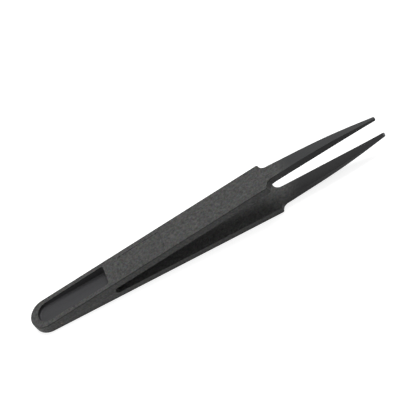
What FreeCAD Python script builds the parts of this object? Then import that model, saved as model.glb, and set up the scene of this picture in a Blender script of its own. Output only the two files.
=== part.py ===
import FreeCAD, Part
import math
import os
from FreeCAD import Vector

# One-piece moulded tweezers with two springy arms, in millimetres.
# The part lies on its lower arm: X runs along that arm from the heel to the tips, Y across the
# width, Z up. The lower half is modelled, and mirrored in the plane midway between the arms.

# Overall form
length = 115.4              # heel end to the tip of the lower prong
heel_width = 9.75           # flat outer face of each arm, at the middle of the heel's round end
shoulder_width = 9.5        # the same face at the shoulder
heel_thickness = 2.8        # over both outer faces, at the heel end
opening_angle = 7.14        # between the two outer faces, degrees
side_draft = 4.7            # slope of the moulded side faces, degrees

# Slot between the arms
slot_root = 26.4            # heel end to the round bottom of the slot
root_thickness = 2.04       # arm thickness at the bottom of the slot
arm_thickness = 2.18        # arm thickness at the shoulder

# Shoulder, where an arm steps in to its slim prong by a hollow round as wide as the step
shoulder_start = 79.9       # heel end to the shoulder's corner
prong_width = 4.88          # back of the prong where it leaves the shoulder
shoulder_corner = 0.6       # round on the shoulder's corner

# Prong sections: the back is the outer side, the grip is the side that closes on the work,
# and the curl is how far the back has bent inwards from the outer face of its arm
quarter_back_width = 3.93
quarter_grip_width = 4.46
quarter_curl = 0.64
quarter_thickness = 2.03
middle_back_width = 2.94
middle_grip_width = 3.76
middle_curl = 1.39
middle_thickness = 1.76
late_back_width = 2.04
late_grip_width = 2.54
late_curl = 2.62
late_thickness = 1.30
tip_back_width = 1.12
tip_grip_width = 1.20
tip_curl = 4.22
tip_thickness = 0.70

# Pocket cored out of both sides of the heel, down to a thin web
pocket_start = 2.6          # heel end to the round end of the pocket
pocket_end = 26.2           # heel end to the straight end wall
pocket_rim = 1.53           # width of the wall left on each side, at the round end
pocket_web = 0.96           # thickness left between the two pockets
pocket_draft = 8.0          # slope of the pocket walls, degrees
pocket_corner = 0.7         # round at the two corners of the end wall
pocket_floor_round = 0.45   # fillet between the floor and the walls

# Shallow bare panel let into the outer face of the upper arm
panel_gap = 4.9             # from the pocket's end wall to the panel
panel_length = 14.5
panel_margin = 1.5          # face left bare on each side of the panel
panel_depth = 0.12
panel_corner = 0.5

# Gate mark, where the moulding was broken from its runner
gate_from_heel = 8.1
gate_below_middle = 0.4     # from the mid-plane towards the lower arm
gate_dish_width = 1.3
gate_dish_depth = 0.16
gate_stub_width = 0.6
gate_stub_height = 0.12

# Round on the edges of the outer faces, and of the prong's back
edge_round = 0.2

# Values worked out from the sizes above
half_angle = math.radians(opening_angle / 2)
draft_slope = math.tan(math.radians(side_draft))
heel_centre = heel_width / 2 + heel_thickness / 2 * draft_slope
shoulder_round = (shoulder_width - prong_width) / 2
prong_start = shoulder_start + shoulder_round
taper = math.asin((heel_width - shoulder_width) / 2 / (prong_start - heel_centre))
overlap = 0.6               # how far a cutting shape reaches past the surface that it cuts


def middle_height(x):
    """Height of the plane midway between the arms."""
    return heel_thickness / 2 + x * math.tan(half_angle)


def arm_height(x):
    """Height of the lower arm's inner face, which is its thickness."""
    slope = (arm_thickness - root_thickness) / (shoulder_start - slot_root)
    return root_thickness + (x - slot_root) * slope


def half_width(x, z):
    """Half width of heel and arm: the side faces close in along X, and spread by their draft."""
    return heel_width / 2 - (x - heel_centre) * math.tan(taper) + z * draft_slope


def line(a, b):
    return Part.LineSegment(a, b).toShape()


def arc(a, middle, b):
    return Part.Arc(a, middle, b).toShape()


def plate(points):
    return Part.Face(Part.makePolygon(points + points[:1]))


def mirrored(shape):
    """The same shape on the other side of the plane midway between the arms."""
    across = Vector(-math.sin(half_angle), 0, math.cos(half_angle))
    return shape.mirror(Vector(0, 0, heel_thickness / 2), across)


def cone(x, y, radius, slope, low, high):
    """Upright cone whose radius at height zero is given, and grows by the slope."""
    return Part.makeCone(radius + low * slope, radius + high * slope, high - low, Vector(x, y, low))


def tapered_block(x_start, x_end, half, narrowing, end_slope, side_slope, low, high):
    """Block with leaning sides that touch a cone of the same slope, and a leaning far end."""
    rings = []
    for z in (low, high):
        radius = half + z * side_slope
        start = x_start + radius * math.sin(narrowing)
        end = x_end + z * end_slope
        y_start = radius * math.cos(narrowing)
        y_end = y_start - (end - start) * math.tan(narrowing)
        rings.append([Vector(start, -y_start, z), Vector(end, -y_end, z), Vector(end, y_end, z),
                      Vector(start, y_start, z)])
    faces = [plate(rings[0][::-1]), plate(rings[1])]
    for number in range(4):
        following = (number + 1) % 4
        faces.append(plate([rings[0][number], rings[0][following],
                            rings[1][following], rings[1][number]]))
    return Part.Solid(Part.Shell(faces))


def slot_profile():
    """Side view of the lower half: outer face, inner face and half of the slot's round bottom."""
    slope = (arm_thickness - root_thickness) / (shoulder_start - slot_root)
    inner_lean = math.atan(slope)
    meeting = slot_root + (root_thickness - middle_height(slot_root)) / (math.tan(half_angle) - slope)
    spread = math.sin(half_angle - inner_lean)
    radius = (slot_root - meeting) / math.cos(half_angle) * spread / (1 - spread)
    centre_x = slot_root + radius * math.cos(half_angle)
    centre = Vector(centre_x, 0, middle_height(centre_x))

    def rim(angle):
        return centre + Vector(radius * math.cos(angle), 0, radius * math.sin(angle))

    touch = rim(inner_lean - math.pi / 2)
    bottom = rim(half_angle - math.pi)
    between = rim((inner_lean - math.pi / 2 + half_angle - math.pi) / 2)
    heel = -overlap
    outline = [Vector(heel, 0, middle_height(heel)), Vector(heel, 0, 0), Vector(prong_start, 0, 0),
               Vector(prong_start, 0, arm_height(prong_start)), touch]
    edges = [line(outline[number], outline[number + 1]) for number in range(4)]
    edges.append(arc(touch, between, bottom))
    edges.append(line(bottom, outline[0]))
    return Part.Face(Part.Wire(edges))


def lower_block():
    """Lower half of the heel with its arm, as far as the start of the prong."""
    high = middle_height(prong_start) + overlap
    heel = cone(heel_centre, 0, heel_width / 2, draft_slope, -overlap, high)
    arm = tapered_block(heel_centre, prong_start, heel_width / 2, taper, 0, draft_slope,
                        -overlap, high)
    plan = heel.fuse(arm).removeSplitter()
    for side in (-1, 1):
        plan = plan.cut(cone(prong_start, side * shoulder_width / 2, shoulder_round, -draft_slope,
                             -overlap, high))
    profile = slot_profile().extrude(Vector(0, 2 * heel_width, 0))
    profile.translate(Vector(0, -heel_width, 0))
    block = profile.common(plan).Solids[0]
    corners = []
    for edge in block.Edges:
        middle = edge.valueAt((edge.FirstParameter + edge.LastParameter) / 2)
        upright = abs(edge.tangentAt(edge.FirstParameter).z) > 0.9
        if upright and abs(middle.x - shoulder_start) < shoulder_round / 2:
            corners.append(edge)
    return block.makeFillet(shoulder_corner, corners)


def rounded_corner(before, corner, after, radius):
    """First, middle and last point of a round that touches two lines at their corner."""
    back = (before - corner).normalize()
    ahead = (after - corner).normalize()
    half_turn = back.getAngle(ahead) / 2
    inwards = (back + ahead).normalize()
    reach = radius / math.tan(half_turn)
    centre = corner + inwards * (radius / math.sin(half_turn))
    return corner + back * reach, centre - inwards * radius, corner + ahead * reach


def prong_section(x, back_width, grip_width, curl, thickness):
    """Cross-section of the prong: flat back with rounded edges, sloping sides, flat grip."""
    grip = curl + thickness
    corners = [Vector(x, -grip_width / 2, grip), Vector(x, -back_width / 2, curl),
               Vector(x, back_width / 2, curl), Vector(x, grip_width / 2, grip)]
    near = rounded_corner(corners[0], corners[1], corners[2], edge_round)
    far = rounded_corner(corners[1], corners[2], corners[3], edge_round)
    return Part.Wire([line(corners[0], near[0]), arc(*near), line(near[2], far[0]), arc(*far),
                      line(far[2], corners[3]), line(corners[3], corners[0])])


def prong():
    """Slim prong lofted through its sections, with a rounded nose."""
    nose = tip_thickness / 2
    step = (length - nose - prong_start) / 4
    root_grip_width = prong_width + 2 * arm_height(prong_start) * draft_slope
    sizes = [(prong_width, root_grip_width, 0, arm_height(prong_start)),
             (quarter_back_width, quarter_grip_width, quarter_curl, quarter_thickness),
             (middle_back_width, middle_grip_width, middle_curl, middle_thickness),
             (late_back_width, late_grip_width, late_curl, late_thickness),
             (tip_back_width, tip_grip_width, tip_curl, tip_thickness)]
    sections = []
    for number in range(len(sizes)):
        sections.append(prong_section(prong_start + number * step, *sizes[number]))
    blade = Part.makeLoft(sections, True, False)
    centre = Vector(length - nose, 0, tip_curl + tip_thickness / 2)
    slices = [sections[-1]]
    for turn in (25, 45, 62, 76):
        ring = sections[-1].copy()
        ring.scale(math.cos(math.radians(turn)), centre)
        ring.translate(Vector(nose * math.sin(math.radians(turn)), 0, 0))
        slices.append(ring)
    return blade.fuse(Part.makeLoft(slices, True, False))


def pocket():
    """Cored pocket with sloping walls, straight along a floor that is level with the mid-plane."""
    slope = -math.tan(math.radians(pocket_draft))
    widening = math.atan(-slope * math.tan(half_angle))
    half = heel_width / 2 - pocket_rim
    centre = pocket_start + half
    high = middle_height(pocket_end)
    block = tapered_block(centre, pocket_end, half, -widening, slope, slope, -overlap, high)
    corners = []
    for edge in block.Edges:
        if edge.BoundBox.XMin > centre + overlap and edge.BoundBox.ZLength > high:
            corners.append(edge)
    block = block.makeFillet(pocket_corner, corners)
    walls = block.fuse(cone(centre, 0, half, slope, -overlap, high)).removeSplitter()
    web = pocket_web / 2 / math.cos(half_angle)
    start = pocket_start - overlap
    end = pocket_end + overlap
    room = plate([Vector(start, 0, -overlap), Vector(end, 0, -overlap),
                  Vector(end, 0, middle_height(end) - web),
                  Vector(start, 0, middle_height(start) - web)])
    room = room.extrude(Vector(0, 2 * heel_width, 0))
    room.translate(Vector(0, -heel_width, 0))
    core = walls.common(room).Solids[0]
    ring = []
    for edge in core.Edges:
        middle = edge.valueAt((edge.FirstParameter + edge.LastParameter) / 2)
        if abs(middle.z - middle_height(middle.x) + web) < 0.001:
            ring.append(edge)
    return core.makeFillet(pocket_floor_round, ring)


def panel():
    """Shallow recess with rounded corners behind the pocket."""
    half = half_width(pocket_end + panel_gap + panel_length / 2, 0) - panel_margin
    slab = Part.makeBox(panel_length, 2 * half, panel_depth + overlap,
                        Vector(pocket_end + panel_gap, -half, -overlap))
    upright = []
    for edge in slab.Edges:
        if edge.BoundBox.ZLength > panel_depth:
            upright.append(edge)
    return slab.makeFillet(panel_corner, upright)


def lower_half():
    """One arm with its half of the heel, its prong, its pocket and its rounded edges."""
    block = lower_block().cut(pocket()).Solids[0]
    rim = []
    for edge in block.Edges:
        if edge.BoundBox.ZMax < 0.001 and edge.BoundBox.XMin < prong_start - 0.001:
            rim.append(edge)
    return block.makeFillet(edge_round, rim).fuse(prong()).removeSplitter()


def gate_mark(solid):
    """Shallow dish on the near side of the heel with the stub of the runner in it."""
    z = middle_height(gate_from_heel) - gate_below_middle
    surface = -half_width(gate_from_heel, z)
    radius = (gate_dish_width ** 2 / 4 + gate_dish_depth ** 2) / (2 * gate_dish_depth)
    dish = Part.makeSphere(radius, Vector(gate_from_heel, surface - radius + gate_dish_depth, z))
    root = surface + 2 * gate_dish_depth
    stub = Part.makeCylinder(gate_stub_width / 2, gate_dish_depth + gate_stub_height,
                             Vector(gate_from_heel, root, z), Vector(0, -1, 0))
    return solid.cut(dish).fuse(stub)


def tweezers():
    """The whole moulding, with the origin under its middle."""
    lower = lower_half()
    whole = lower.fuse(mirrored(lower.cut(panel()))).removeSplitter()
    whole = gate_mark(whole).Solids[0]
    box = whole.optimalBoundingBox(False)
    whole.translate(Vector(-(box.XMin + box.XMax) / 2, 0, 0))
    return whole


os.makedirs("parts", exist_ok=True)
moulding = tweezers()
moulding.exportStep("parts/tweezers.step")
size = moulding.optimalBoundingBox(False)
print("tweezers: %.2f x %.2f x %.2f mm, %.0f cubic mm, valid %s" % (
    size.XLength, size.YLength, size.ZLength, moulding.Volume, moulding.isValid()))
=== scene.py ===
# %% [markdown]
# Moulded carbon-fibre tweezers
#
# The object is one injection moulding: two springy arms that meet at the heel, and two slim prongs.
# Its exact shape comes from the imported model. This file gives that shape the surface that the steel
# mould gave the real one, gives the surface its material, and sets up a small photo studio around it.
# All lengths are in metres, so a small helper turns millimetres into metres.

import math

import bmesh
import bpy
from mathutils import Matrix, Vector


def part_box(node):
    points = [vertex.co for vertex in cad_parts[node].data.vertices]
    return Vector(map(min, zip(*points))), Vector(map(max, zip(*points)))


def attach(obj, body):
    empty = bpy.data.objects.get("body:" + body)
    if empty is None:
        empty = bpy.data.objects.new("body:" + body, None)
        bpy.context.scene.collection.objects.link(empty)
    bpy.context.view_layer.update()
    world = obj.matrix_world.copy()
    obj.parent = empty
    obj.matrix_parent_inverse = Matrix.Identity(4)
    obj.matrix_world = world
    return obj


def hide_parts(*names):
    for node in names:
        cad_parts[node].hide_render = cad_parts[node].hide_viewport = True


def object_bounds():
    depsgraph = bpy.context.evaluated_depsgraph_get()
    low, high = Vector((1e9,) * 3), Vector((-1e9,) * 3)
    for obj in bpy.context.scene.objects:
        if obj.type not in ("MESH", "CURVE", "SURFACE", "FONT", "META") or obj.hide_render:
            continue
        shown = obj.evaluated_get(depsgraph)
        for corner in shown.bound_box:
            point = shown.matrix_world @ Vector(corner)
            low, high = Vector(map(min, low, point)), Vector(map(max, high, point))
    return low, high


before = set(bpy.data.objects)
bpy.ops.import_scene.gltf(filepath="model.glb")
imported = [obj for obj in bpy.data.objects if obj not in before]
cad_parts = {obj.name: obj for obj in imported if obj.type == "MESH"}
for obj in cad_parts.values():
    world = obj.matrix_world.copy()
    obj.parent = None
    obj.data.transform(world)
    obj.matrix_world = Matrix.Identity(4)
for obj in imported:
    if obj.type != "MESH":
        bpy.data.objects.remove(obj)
cad_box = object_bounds()
MM = 0.001
moulded_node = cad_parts["tweezers"]
low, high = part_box("tweezers")
print("exact model, mm:", [round((high[i] - low[i]) / MM, 2) for i in range(3)])

# %% [markdown]
# The camera
#
# The photograph looks down on the tweezers from about 48 degrees with a long lens, and it is rolled so
# that the object runs from the lower left to the upper right. A camera can be aimed by trial, but here
# its place was found by matching the edges of the real object, so it is written as the numbers that
# a photographer would give: what it looks at, how high, from which side, how far and how far rolled.
# The lower arm lies on the table, and the plane midway between the arms leans up by half their opening.

# %% Aim the camera
OPENING = math.radians(7.14)
HEEL_HEIGHT = 2.8 * MM
heel_end = low.x


def from_middle_plane(along, across, above):
    """A point given from the heel end, in the plane midway between the arms, as a point of the scene."""
    lean = OPENING / 2
    x = along * math.cos(lean) - above * math.sin(lean)
    z = along * math.sin(lean) + above * math.cos(lean) + HEEL_HEIGHT / 2
    return Vector((heel_end + x, across, z))


def direction_from_middle_plane(vector):
    turn = Matrix.Rotation(-OPENING / 2, 3, "Y")
    return turn @ Vector(vector)


LOOK_DOWN = math.radians(47.45)
SWING = math.radians(12.17)
ROLL = math.radians(-38.74)
DISTANCE = 623 * MM
PIXELS_PER_MM = 3.493
IMAGE_WIDTH = 416

aim = from_middle_plane(57.8 * MM, 0, 0)
towards = direction_from_middle_plane((math.sin(SWING) * math.cos(LOOK_DOWN),
                                       -math.cos(SWING) * math.cos(LOOK_DOWN), math.sin(LOOK_DOWN)))
level = direction_from_middle_plane((math.cos(SWING), math.sin(SWING), 0))
unrolled_up = towards.cross(level)
right = math.cos(ROLL) * level + math.sin(ROLL) * unrolled_up
up = -math.sin(ROLL) * level + math.cos(ROLL) * unrolled_up

focal_pixels = PIXELS_PER_MM * DISTANCE / MM
pixels_right, pixels_up = 3.23, 18.13
line_of_sight = (-towards * focal_pixels + right * pixels_right + up * pixels_up).normalized()
right = (right - line_of_sight * right.dot(line_of_sight)).normalized()
up = right.cross(line_of_sight)

camera_data = bpy.data.cameras.new("camera")
camera = bpy.data.objects.new("camera", camera_data)
bpy.context.scene.collection.objects.link(camera)
camera.matrix_world = Matrix.Translation(aim + towards * DISTANCE) @ Matrix(
    (right, up, -line_of_sight)).transposed().to_4x4()
camera_data.sensor_width = 36
camera_data.lens = focal_pixels / IMAGE_WIDTH * camera_data.sensor_width
camera_data.clip_start = 0.05
camera_data.clip_end = 20
bpy.context.scene.camera = camera
print("lens, mm:", round(camera_data.lens), "height, mm:", round(camera.location.z / MM))

# %% [markdown]
# Helpers for node trees
#
# Both the relief and the material are node trees, and every node in them is added in the same way: its
# kind, its settings, and what goes into its sockets. One small function does that and gives back the
# node's outputs. A value that is itself a socket becomes a link. Colours are chosen as the hex values
# that a picture editor shows, so another function turns them into the renderer's linear values.

# %% Small helpers
def add(tree, kind, sockets=None, **settings):
    node = tree.nodes.new(kind)
    for name, value in settings.items():
        setattr(node, name, value)
    for key, value in (sockets or {}).items():
        if isinstance(value, bpy.types.NodeSocket):
            tree.links.new(value, node.inputs[key])
        else:
            node.inputs[key].default_value = value
    return node.outputs


def linear(hex_colour):
    channels = [int(hex_colour[i:i + 2], 16) / 255 for i in (1, 3, 5)]
    return tuple(c / 12.92 if c <= 0.04045 else ((c + 0.055) / 1.055) ** 2.4 for c in channels) + (1,)


# %% [markdown]
# Small cells, to carry the grain
#
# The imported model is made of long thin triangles, which have no points in the middle of a face for a
# relief to move. The Remesh modifier would give an even mesh, but it rounds or ripples the crisp edges
# that a mould leaves. So the faces are cut up instead. Their triangles are first merged back into whole
# faces, and those are sliced by three sets of planes, as a loaf is sliced, into cells about 0.3 mm wide.
# Every edge stays exactly where the solid has it. Where a plane passes very near a corner it leaves a
# sliver, which would shade as a fleck, so the slivers are dissolved. Each edge is then marked sharp
# where its two faces meet at more than 40 degrees, before the grain makes small steep slopes of its own.

# %% Copy the moulding as whole faces
CELL = 0.29 * MM
SLIVER = 0.01 * MM
SHARP_FROM = math.radians(40)
SAME_POINT = 0.0001 * MM
IN_ONE_PLANE = math.radians(0.1)


def copy_as_whole_faces(source):
    solid = bmesh.new()
    solid.from_mesh(source.data)
    bmesh.ops.remove_doubles(solid, verts=solid.verts, dist=SAME_POINT)
    bmesh.ops.dissolve_limit(solid, angle_limit=IN_ONE_PLANE, verts=solid.verts, edges=solid.edges)
    return solid


def sliced(solid, faces, axis, start, end):
    """Cuts the faces by planes across one axis and gives back all the faces that they become."""
    corners = {corner for face in faces for corner in face.verts}
    edges = {edge for face in faces for edge in face.edges}
    pieces = list(faces) + list(edges) + list(corners)
    across = Vector((axis == 0, axis == 1, axis == 2))
    cuts = int((end - start) / CELL)
    for number in range(1, cuts + 1):
        plane = across * (start + (end - start) * number / (cuts + 1))
        pieces = bmesh.ops.bisect_plane(solid, geom=pieces, dist=SAME_POINT, plane_co=plane,
                                        plane_no=across)["geom"]
    return [piece for piece in pieces if isinstance(piece, bmesh.types.BMFace)]


# %% Slice it and make it an object
solid = copy_as_whole_faces(moulded_node)
print("whole faces:", len(solid.faces))
strips = sliced(solid, solid.faces, 0, low.x, high.x)
sliced(solid, [face for face in strips if abs(face.normal.z) > 0.7], 1, low.y, high.y)
side_faces = [face for face in strips if face.is_valid and abs(face.normal.y) > 0.7]
sliced(solid, side_faces, 2, low.z, high.z)
bmesh.ops.dissolve_degenerate(solid, dist=SLIVER, edges=solid.edges)
bmesh.ops.triangulate(solid, faces=[face for face in solid.faces if len(face.verts) > 4])
bmesh.ops.dissolve_degenerate(solid, dist=SLIVER / 2, edges=solid.edges)
solid.normal_update()
for edge in solid.edges:
    edge.smooth = edge.calc_face_angle(0) < SHARP_FROM
print("cells:", len(solid.faces))

moulding_mesh = bpy.data.meshes.new("moulding")
solid.to_mesh(moulding_mesh)
solid.free()
moulding_mesh.shade_smooth()
moulding = bpy.data.objects.new("moulding", moulding_mesh)
bpy.context.scene.collection.objects.link(moulding)

# %% [markdown]
# The material
#
# The real material is a carbon-fibre-filled nylon, injection moulded. Chopped fibres make it black and
# conductive. To the eye it is a dull charcoal, because the grain scatters the light, with a fine speckle
# where fibres lie under the skin. Pits are painted darker than the skin between them, as shade, since
# less light reaches into them. Where the steel was only polished, the plastic is darker and smoother, and
# its tone is painted by which way a face points, as shade: the pocket's side walls and the sides of the
# prongs are darker than the pocket floor and the backs of the prongs, and the faces turned towards the
# other arm, the grips, are the darkest. A single dark colour would look like painted plastic, so the
# colour, the roughness and the bump all follow the stored grain mask. Craters finer than the mesh can
# carry are bump, at 0.3 mm, which is coarser than the finest real ones, so that they show at this
# distance.

# %% Skin colours and speckle
SPECKLE = 0.5 * MM
FINE_CRATERS = 0.3 * MM
SHOULDER = low.x + 80.9 * MM
PAST_POCKET = low.x + 30 * MM
tone = {
    "pocket walls": linear("#2f2f30"),
    "sides of the prongs, painted shade": linear("#1d1d1e"),
    "pocket floor": linear("#373739"),
    "prong backs": linear("#28292a"),
    "faces towards the other arm, painted shade": linear("#101011"),
    "grained skin": linear("#50504f"),
    "painted shade in a pit": linear("#2a2a2a"),
}

filled_nylon = bpy.data.materials.new("carbon-fibre-filled nylon, injection moulded")
filled_nylon.use_nodes = True
tree = filled_nylon.node_tree
tree.nodes.clear()
place = add(tree, "ShaderNodeTexCoord")["Object"]
grain = add(tree, "ShaderNodeAttribute", attribute_name="grain")["Fac"]
pit = add(tree, "ShaderNodeAttribute", attribute_name="pit")["Fac"]
edge_highlight_mask = add(tree, "ShaderNodeAttribute", attribute_name="edge_highlight_mask")["Fac"]
outwards = add(tree, "ShaderNodeAttribute", attribute_name="outwards")["Fac"]
depth = add(tree, "ShaderNodeAttribute", attribute_name="depth")["Fac"]
along = add(tree, "ShaderNodeSeparateXYZ", {0: place})[0]

# Polished faces take their tone from which way they point: sideways faces and faces turned towards the other
# arm are painted darker, as shade.
back = add(tree, "ShaderNodeMapRange", {0: outwards, 1: 0.4, 2: 0.8, 3: 0.0, 4: 1.0})[0]
grip = add(tree, "ShaderNodeMapRange", {0: outwards, 1: -0.4, 2: -0.8, 3: 0.0, 4: 1.0})[0]
on_prong = add(tree, "ShaderNodeMapRange", {0: along, 1: PAST_POCKET, 2: SHOULDER, 3: 0.0, 4: 1.0})[0]
walls = add(tree, "ShaderNodeMix", {"Factor": on_prong, 6: tone["pocket walls"], 7: tone["sides of the prongs, painted shade"]},
            data_type="RGBA")[2]
backs = add(tree, "ShaderNodeMix", {"Factor": on_prong, 6: tone["pocket floor"], 7: tone["prong backs"]},
            data_type="RGBA")[2]
# This mix paints the shade into the polished tone.
polished = add(tree, "ShaderNodeMix", {"Factor": back, 6: walls, 7: backs}, data_type="RGBA")[2]
polished = add(tree, "ShaderNodeMix", {"Factor": grip, 6: polished, 7: tone["faces towards the other arm, painted shade"]},
               data_type="RGBA")[2]
# The pits are painted darker than the skin between them: painted shade, since less light reaches into a pit.
grain_with_shaded_pits = add(tree, "ShaderNodeMix", {"Factor": pit, 6: tone["grained skin"], 7: tone["painted shade in a pit"]},
             data_type="RGBA")[2]
dull = add(tree, "ShaderNodeMapRange", {0: grain, 1: 0.12, 2: 0.55, 3: 0.0, 4: 1.0})[0]
skin = add(tree, "ShaderNodeMix", {"Factor": dull, 6: polished, 7: grain_with_shaded_pits}, data_type="RGBA")[2]
speckle = add(tree, "ShaderNodeTexNoise", {"Vector": place, "Scale": 1 / SPECKLE, "Detail": 2.0,
                                           "Roughness": 0.7})
share = add(tree, "ShaderNodeMapRange", {0: dull, 1: 0.0, 2: 1.0, 3: 0.15, 4: 0.5})[0]
tinted = add(tree, "ShaderNodeMix", {"Factor": share, 6: skin, 7: speckle["Color"]}, data_type="RGBA",
             blend_type="OVERLAY")[2]

# %% [markdown]
# Five more things vary the colour. The plastic flows along the arms as it fills the mould, and leaves
# faint streaks many times longer than they are wide. The rounded outer edges get a lighter line, a painted
# highlight where they catch the light. A thin dark line of painted shade follows the edge just below the
# outer face, probably where the steel has a narrow polished land. The stub of the gate, where the plastic
# entered, snapped off, and a paler spot on it is a painted highlight. The rounded noses of the prongs are
# smoother, so they shine a little, and a lighter colour on them is a painted highlight.

# %% Streaks and painted highlight on edges
FLOW_STREAK = 1.6 * MM
EDGE_HIGHLIGHT_SHARE = 0.7
tone["rubbed edge"] = linear("#5a5a5a")
drawn_out = add(tree, "ShaderNodeMapping", {"Vector": place, "Scale": (0.12, 1, 1)})[0]
streaks = add(tree, "ShaderNodeTexNoise", {"Vector": drawn_out, "Scale": 1 / FLOW_STREAK, "Detail": 3.0})[0]
shade = add(tree, "ShaderNodeMapRange", {0: streaks, 1: 0.3, 2: 0.7, 3: 0.92, 4: 1.08})[0]
streaked = add(tree, "ShaderNodeVectorMath", {0: tinted, "Scale": shade}, operation="SCALE")[0]
# Rounded outer edges are painted lighter: a painted highlight where they catch the light.
edge_highlight = add(tree, "ShaderNodeMath", {0: edge_highlight_mask, 1: dull}, operation="MULTIPLY")[0]
edge_highlight = add(tree, "ShaderNodeMath", {0: edge_highlight, 1: EDGE_HIGHLIGHT_SHARE}, operation="MULTIPLY")[0]
colour = add(tree, "ShaderNodeMix", {"Factor": edge_highlight, 6: streaked, 7: tone["rubbed edge"]},
             data_type="RGBA")[2]

# %% Painted shade line, gate stub highlight and nose highlight
SHADE_LINE_SHARE = 0.75
GATE_FROM_HEEL = 8.1 * MM
GATE_HEIGHT = 1.5 * MM
tone["polished land"] = linear("#101010")
tone["broken plastic"] = linear("#655f5a")
tone["smooth nose"] = linear("#5c5e60")
# A thin dark line of painted shade follows the side faces just below the outer face.
land = add(tree, "ShaderNodeMapRange", {0: depth, 1: 0.03 * MM, 2: 0.1 * MM, 3: 0.0, 4: 1.0})[0]
shade_line_end = add(tree, "ShaderNodeMapRange", {0: depth, 1: 0.3 * MM, 2: 0.5 * MM, 3: 1.0, 4: 0.0})[0]
steep = add(tree, "ShaderNodeMapRange", {0: outwards, 1: 0.55, 2: 0.8, 3: 1.0, 4: 0.0})[0]
land = add(tree, "ShaderNodeMath", {0: land, 1: shade_line_end}, operation="MULTIPLY")[0]
land = add(tree, "ShaderNodeMath", {0: land, 1: steep}, operation="MULTIPLY")[0]
land = add(tree, "ShaderNodeMath", {0: land, 1: SHADE_LINE_SHARE}, operation="MULTIPLY")[0]
colour = add(tree, "ShaderNodeMix", {"Factor": land, 6: colour, 7: tone["polished land"]},
             data_type="RGBA")[2]
# A paler spot on the gate stub is a painted highlight.
gate = Vector((heel_end + GATE_FROM_HEEL, low.y, GATE_HEIGHT))
from_gate = add(tree, "ShaderNodeVectorMath", {0: place, 1: gate}, operation="DISTANCE")["Value"]
broken = add(tree, "ShaderNodeMapRange", {0: from_gate, 1: 0.25 * MM, 2: 0.6 * MM, 3: 1.0, 4: 0.0})[0]
colour = add(tree, "ShaderNodeMix", {"Factor": broken, 6: colour, 7: tone["broken plastic"]},
             data_type="RGBA")[2]
# Near the tips the noses are smoother, with a lower roughness, and are painted lighter as a highlight.
nose = add(tree, "ShaderNodeMapRange", {0: along, 1: high.x - 0.7 * MM, 2: high.x - 0.2 * MM, 3: 0.0,
                                        4: 1.0})[0]
colour = add(tree, "ShaderNodeMix", {"Factor": nose, 6: colour, 7: tone["smooth nose"]},
             data_type="RGBA")[2]

# %% Bump, roughness and shader
CRATER_DEPTH = 0.05 * MM
NOSE_ROUGHNESS = 0.2
fine = add(tree, "ShaderNodeTexVoronoi", {"Vector": place, "Scale": 1 / FINE_CRATERS,
                                          "Smoothness": 0.4}, feature="SMOOTH_F1")[0]
strength = add(tree, "ShaderNodeMapRange", {0: dull, 1: 0.0, 2: 1.0, 3: 0.15, 4: 1.0})[0]
bump = add(tree, "ShaderNodeBump", {"Strength": strength, "Distance": CRATER_DEPTH, "Height": fine})[0]
roughness = add(tree, "ShaderNodeMapRange", {0: dull, 1: 0.0, 2: 1.0, 3: 0.52, 4: 0.62})[0]
roughness = add(tree, "ShaderNodeMix", {0: nose, 2: roughness, 3: NOSE_ROUGHNESS})[0]
shader = add(tree, "ShaderNodeBsdfPrincipled", {"Base Color": colour, "Roughness": roughness,
                                                "IOR": 1.53, "Specular IOR Level": 0.18,
                                                "Normal": bump})[0]
add(tree, "ShaderNodeOutputMaterial", {0: shader})

# %% [markdown]
# The grain of the mould
#
# The mould for such tweezers is spark-eroded: each spark leaves a tiny crater in the steel, and the
# plastic copies the craters as a dull, irregular grain. The craters run into one another, as pits that
# are longer than wide and lean across the arm. Grain covers the arms and the heel, is weaker on the side
# faces, fades out slowly past the shoulder, and is absent in the pockets, whose steel was only polished.
# It follows a rule, pits of one size at random places, so Geometry Nodes make it: a noise that is
# stretched and turned gives the pits, and a mask says how much grain each place has. A cellular texture
# would give round, even dimples, as on a golf ball. Points move only inwards, so the part keeps its
# size. What the material needs to know about each place is stored with it.

# %% Start the relief tree
relief = bpy.data.node_groups.new("spark-eroded grain", "GeometryNodeTree")
sizes = {
    "Grain depth": 0.1 * MM,
    "Pit width": 0.48 * MM,
    "Pit length": 0.8 * MM,
    "Pit lean": math.radians(-35),
    "Side share": 0.5,
    "Prong share": 0.12,
    "Shoulder": SHOULDER,
    "Fade length": 8.0 * MM,
    "Pocket end": low.x + 26.4 * MM,
    "Pocket half width": 3.5 * MM,
    "Outer flat half width": 4.2 * MM,
    "Outer flat depth": 0.2 * MM,
    "Seed": 7.0,
}
relief.interface.new_socket("Geometry", in_out="INPUT", socket_type="NodeSocketGeometry")
relief.interface.new_socket("Geometry", in_out="OUTPUT", socket_type="NodeSocketGeometry")
identifier = {}
for name in sizes:
    identifier[name] = relief.interface.new_socket(name, in_out="INPUT",
                                                   socket_type="NodeSocketFloat").identifier
given = add(relief, "NodeGroupInput")
place = add(relief, "GeometryNodeInputPosition")[0]
facing = add(relief, "GeometryNodeInputNormal")[0]
x, y, z = add(relief, "ShaderNodeSeparateXYZ", {0: place})
across = add(relief, "ShaderNodeMath", {0: y}, operation="ABSOLUTE")[0]
sideways = add(relief, "ShaderNodeSeparateXYZ", {0: facing})[1]
sideways = add(relief, "ShaderNodeMath", {0: sideways}, operation="ABSOLUTE")[0]

# %% [markdown]
# The mask is a product of soft steps: one along the length that falls past the shoulder, one for the side
# faces, and one that is down inside the pockets. A place is in a pocket when it is before the pocket's
# end wall, between its side walls, and deeper than the edge round below both outer faces. The lower
# outer face is the table's plane, and the upper one climbs from the line where the two would meet.

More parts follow.
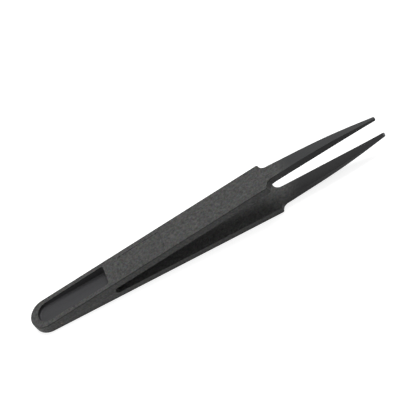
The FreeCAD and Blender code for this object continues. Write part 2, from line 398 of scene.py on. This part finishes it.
# %% The mask
half_fade = add(relief, "ShaderNodeMath", {0: given["Fade length"], 1: 0.5}, operation="MULTIPLY")[0]
fade_start = add(relief, "ShaderNodeMath", {0: given["Shoulder"], 1: half_fade}, operation="SUBTRACT")[0]
fade_end = add(relief, "ShaderNodeMath", {0: given["Shoulder"], 1: given["Fade length"]},
               operation="ADD")[0]
by_length = add(relief, "ShaderNodeMapRange", {0: x, 1: fade_start, 2: fade_end, 3: 1.0,
                                               4: given["Prong share"]}, interpolation_type="SMOOTHSTEP")[0]
by_side = add(relief, "ShaderNodeMapRange", {0: sideways, 1: 0.4, 2: 0.8, 3: 1.0,
                                             4: given["Side share"]}, interpolation_type="SMOOTHSTEP")[0]

meeting = heel_end - HEEL_HEIGHT / math.tan(OPENING)
from_meeting = add(relief, "ShaderNodeMath", {0: x, 1: meeting}, operation="SUBTRACT")[0]
climb = add(relief, "ShaderNodeMath", {0: from_meeting, 1: math.sin(OPENING)}, operation="MULTIPLY")[0]
rise = add(relief, "ShaderNodeMath", {0: z, 1: math.cos(OPENING)}, operation="MULTIPLY")[0]
under_upper = add(relief, "ShaderNodeMath", {0: climb, 1: rise}, operation="SUBTRACT")[0]
depth = add(relief, "ShaderNodeMath", {0: under_upper, 1: z}, operation="MINIMUM")[0]

before_end = add(relief, "ShaderNodeMath", {0: x, 1: given["Pocket end"]}, operation="LESS_THAN")[0]
between = add(relief, "ShaderNodeMath", {0: across, 1: given["Pocket half width"]},
              operation="LESS_THAN")[0]
sunk = add(relief, "ShaderNodeMapRange", {0: depth, 1: 0.1 * MM, 2: 0.4 * MM, 3: 0.0, 4: 1.0},
           interpolation_type="SMOOTHSTEP")[0]
in_plan = add(relief, "ShaderNodeMath", {0: before_end, 1: between}, operation="MULTIPLY")[0]
in_pocket = add(relief, "ShaderNodeMath", {0: in_plan, 1: sunk}, operation="MULTIPLY")[0]
outside = add(relief, "ShaderNodeMath", {0: 1.0, 1: in_pocket}, operation="SUBTRACT")[0]
mask = add(relief, "ShaderNodeMath", {0: by_length, 1: by_side}, operation="MULTIPLY")[0]
mask = add(relief, "ShaderNodeMath", {0: mask, 1: outside}, operation="MULTIPLY")[0]

which_arm = add(relief, "ShaderNodeMath", {0: z, 1: under_upper}, operation="SUBTRACT")[0]
which_arm = add(relief, "ShaderNodeMath", {0: which_arm}, operation="SIGN")[0]
upwards = add(relief, "ShaderNodeSeparateXYZ", {0: facing})[2]
outwards = add(relief, "ShaderNodeMath", {0: upwards, 1: which_arm}, operation="MULTIPLY")[0]

# %% [markdown]
# The grain fades out over one cell before an edge, so edges stay straight, as they do on the real part.
# The tree finds edges by the angle between neighbouring faces. The bare panel's edges are only a tenth of
# a millimetre high, and a smooth strip along them would look like a raised frame, so on the flat of the
# outer face the grain runs on. The material paints a highlight along the rounded outer edges, where they
# catch the light, so how near a place is to one is stored as well. A round turns by 6 to 35 degrees from
# cell to cell. A sharper corner has no round, and gets no highlight.

# %% Edges
angles = add(relief, "GeometryNodeInputMeshEdgeAngle")
on_edge = add(relief, "ShaderNodeMapRange", {0: angles["Unsigned Angle"], 1: math.radians(1.5),
                                             2: math.radians(4), 3: 0.0, 4: 4.0})[0]
on_outer_edge = add(relief, "ShaderNodeMapRange", {0: angles["Signed Angle"], 1: math.radians(6),
                                                   2: math.radians(12), 3: 0.0, 4: 2.0})[0]
near_edge = add(relief, "GeometryNodeBlurAttribute", {0: on_edge, "Iterations": 1},
                data_type="FLOAT")[0]
away = add(relief, "ShaderNodeMath", {0: 1.0, 1: near_edge}, operation="SUBTRACT", use_clamp=True)[0]
shallow = add(relief, "ShaderNodeMath", {0: depth, 1: given["Outer flat depth"]}, operation="LESS_THAN")[0]
middle = add(relief, "ShaderNodeMath", {0: across, 1: given["Outer flat half width"]},
             operation="LESS_THAN")[0]
on_flat = add(relief, "ShaderNodeMath", {0: shallow, 1: middle}, operation="MULTIPLY")[0]
past_pocket = add(relief, "ShaderNodeMath", {0: x, 1: given["Pocket end"]}, operation="GREATER_THAN")[0]
on_flat = add(relief, "ShaderNodeMath", {0: on_flat, 1: past_pocket}, operation="MULTIPLY")[0]
away = add(relief, "ShaderNodeMath", {0: away, 1: on_flat}, operation="MAXIMUM")[0]
rounded = add(relief, "ShaderNodeMath", {0: angles["Signed Angle"], 1: math.radians(35)},
              operation="LESS_THAN")[0]
on_outer_edge = add(relief, "ShaderNodeMath", {0: on_outer_edge, 1: rounded}, operation="MULTIPLY")[0]
# How near a place is to a rounded outer edge, for the painted highlight along those edges.
edge_highlight_mask = add(relief, "GeometryNodeBlurAttribute", {0: on_outer_edge, "Iterations": 1},
           data_type="FLOAT")[0]
outermost = add(relief, "ShaderNodeMapRange", {0: depth, 1: 0.3 * MM, 2: 0.6 * MM, 3: 1.0, 4: 0.0})[0]
edge_highlight_mask = add(relief, "ShaderNodeMath", {0: edge_highlight_mask, 1: outermost}, operation="MULTIPLY", use_clamp=True)[0]

# %% Pits
leaning = add(relief, "ShaderNodeVectorRotate", {"Vector": place, "Angle": given["Pit lean"]},
              rotation_type="Z_AXIS")[0]
length_scale = add(relief, "ShaderNodeMath", {0: 1.0, 1: given["Pit length"]}, operation="DIVIDE")[0]
width_scale = add(relief, "ShaderNodeMath", {0: 1.0, 1: given["Pit width"]}, operation="DIVIDE")[0]
per_pit = add(relief, "ShaderNodeCombineXYZ", {0: length_scale, 1: width_scale, 2: width_scale})[0]
stretched = add(relief, "ShaderNodeVectorMath", {0: leaning, 1: per_pit}, operation="MULTIPLY")[0]
uneven = add(relief, "ShaderNodeTexNoise", {"Vector": stretched, "W": given["Seed"], "Scale": 1.0,
                                            "Detail": 2.0, "Roughness": 0.6},
             noise_dimensions="4D")[0]
height = add(relief, "ShaderNodeMapRange", {0: uneven, 1: 0.32, 2: 0.68, 3: 0.0, 4: 1.0})[0]
sunken = add(relief, "ShaderNodeMath", {0: height, 1: mask}, operation="MULTIPLY")[0]
sunken = add(relief, "ShaderNodeMath", {0: sunken, 1: away}, operation="MULTIPLY")[0]
sunken = add(relief, "ShaderNodeMath", {0: sunken, 1: given["Grain depth"]}, operation="MULTIPLY")[0]
inwards = add(relief, "ShaderNodeMath", {0: sunken, 1: -1.0}, operation="MULTIPLY")[0]
offset = add(relief, "ShaderNodeVectorMath", {0: facing, "Scale": inwards}, operation="SCALE")[0]

# %% Put the tree together
masked = add(relief, "GeometryNodeStoreNamedAttribute", {"Geometry": given["Geometry"],
                                                         "Name": "grain", "Value": mask},
             data_type="FLOAT")[0]
masked = add(relief, "GeometryNodeStoreNamedAttribute", {"Geometry": masked, "Name": "edge_highlight_mask",
                                                         "Value": edge_highlight_mask}, data_type="FLOAT")[0]
masked = add(relief, "GeometryNodeStoreNamedAttribute", {"Geometry": masked, "Name": "outwards",
                                                         "Value": outwards}, data_type="FLOAT")[0]
masked = add(relief, "GeometryNodeStoreNamedAttribute", {"Geometry": masked, "Name": "pit",
                                                         "Value": height}, data_type="FLOAT")[0]
masked = add(relief, "GeometryNodeStoreNamedAttribute", {"Geometry": masked, "Name": "depth",
                                                         "Value": depth}, data_type="FLOAT")[0]
grained = add(relief, "GeometryNodeSetPosition", {"Geometry": masked, "Offset": offset})[0]
real = add(relief, "GeometryNodeRealizeInstances", {"Geometry": grained})[0]
finished = add(relief, "GeometryNodeSetMaterial", {"Geometry": real, "Material": filled_nylon})[0]
add(relief, "NodeGroupOutput", {"Geometry": finished})

# %% [markdown]
# A grained face has small cells beside large ones, and shading that gives every cell an equal say lets
# the small ones tilt the light on a flat face. Weighting each by its area keeps the flats flat, and the
# marked edges keep the break between faces.

# %% Press the grain into the moulding
pressed = moulding.modifiers.new("grain", "NODES")
pressed.node_group = relief
for name, value in sizes.items():
    pressed[identifier[name]] = value
even = moulding.modifiers.new("flat faces keep their own normal", "WEIGHTED_NORMAL")
even.keep_sharp = True
depsgraph = bpy.context.evaluated_depsgraph_get()
grained_mesh = bpy.data.meshes.new_from_object(moulding.evaluated_get(depsgraph))
moulding.modifiers.clear()
moulding.data = grained_mesh

triangles = sum(len(face.vertices) - 2 for face in grained_mesh.polygons)
shares = [point.value for point in grained_mesh.attributes["grain"].data]
print("triangles:", triangles, "mean grain share:", round(sum(shares) / len(shares), 2))

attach(moulding, "root")
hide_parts("tweezers")

# %% [markdown]
# The studio
#
# The photograph is a plain catalogue picture: a dark object on pure white with no hard shadow. The key
# light is a wide soft lamp above and behind on the right, and the surroundings are bright overhead and
# behind and nearly dark in front. So the flat outer face is the brightest plane, and the side faces, lit
# mostly by the table, are one step darker. A small low card in front on the left lifts the heel's side.
# The table is light grey to the light that bounces off it. White behind the object comes from the
# table's and the world's own colour as the camera and reflections see them, never from more light on
# the object. The table still takes the object's soft shadow.

# %% Table
def seen_directly(tree):
    """1 for a ray that shows a surface to the camera, directly or in a reflection, and 0 for other light."""
    paths = add(tree, "ShaderNodeLightPath")
    seen = add(tree, "ShaderNodeMath", {0: paths["Is Camera Ray"], 1: paths["Is Glossy Ray"]},
               operation="ADD")[0]
    return add(tree, "ShaderNodeMath", {0: seen, 1: paths["Is Transmission Ray"]}, operation="ADD",
               use_clamp=True)[0]


def board(name, half, height):
    mesh = bpy.data.meshes.new(name)
    mesh.from_pydata([(-half, -half, height), (half, -half, height), (half, half, height),
                      (-half, half, height)], [], [(0, 1, 2, 3)])
    thing = bpy.data.objects.new(name, mesh)
    bpy.context.scene.collection.objects.link(thing)
    return thing


table = board("table", 3.0, cad_box[0][2])
white_board = bpy.data.materials.new("white melamine board, matt")
white_board.use_nodes = True
tree = white_board.node_tree
tree.nodes.clear()
plain = add(tree, "ShaderNodeBsdfDiffuse", {"Color": linear("#d2d2d2")})[0]
half_lit = add(tree, "ShaderNodeBsdfDiffuse", {"Color": linear("#b4b4b4")})[0]
own_white = add(tree, "ShaderNodeEmission", {"Color": (1, 1, 1, 1), "Strength": 0.82})[0]
bright = add(tree, "ShaderNodeAddShader", {0: half_lit, 1: own_white})[0]
surface = add(tree, "ShaderNodeMixShader", {0: seen_directly(tree), 1: plain, 2: bright})[0]
add(tree, "ShaderNodeOutputMaterial", {0: surface})
table.data.materials.append(white_board)

# %% World
BRIGHTEST_FROM = Vector((0, 0.5, 0.866))
world = bpy.data.worlds.new("studio")
bpy.context.scene.world = world
world.use_nodes = True
tree = world.node_tree
tree.nodes.clear()
direction = add(tree, "ShaderNodeTexCoord")["Generated"]
towards_bright = add(tree, "ShaderNodeVectorMath", {0: direction, 1: BRIGHTEST_FROM},
                     operation="DOT_PRODUCT")["Value"]
overcast = add(tree, "ShaderNodeMapRange", {0: towards_bright, 1: 0.0, 2: 1.0, 3: 0.02, 4: 0.6})[0]
strength = add(tree, "ShaderNodeMix", {0: seen_directly(tree), 2: overcast, 3: 1.0})[0]
sky = add(tree, "ShaderNodeBackground", {"Color": (1, 1, 1, 1), "Strength": strength})[0]
add(tree, "ShaderNodeOutputWorld", {0: sky})

# %% Lamps
def soft_lamp(name, place, size, power):
    data = bpy.data.lights.new(name, "AREA")
    data.shape = "SQUARE"
    data.size = size
    data.energy = power
    lamp = bpy.data.objects.new(name, data)
    bpy.context.scene.collection.objects.link(lamp)
    lamp.location = place
    lamp.rotation_euler = (-Vector(place)).to_track_quat("-Z", "Y").to_euler()
    return lamp


soft_lamp("key above and behind", (0.2, 0.33, 0.85), 0.6, 7.4)
soft_lamp("low card in front on the left", (-0.25, -0.2, 0.02), 0.12, 0.5)
bpy.context.scene.view_settings.view_transform = "Standard"
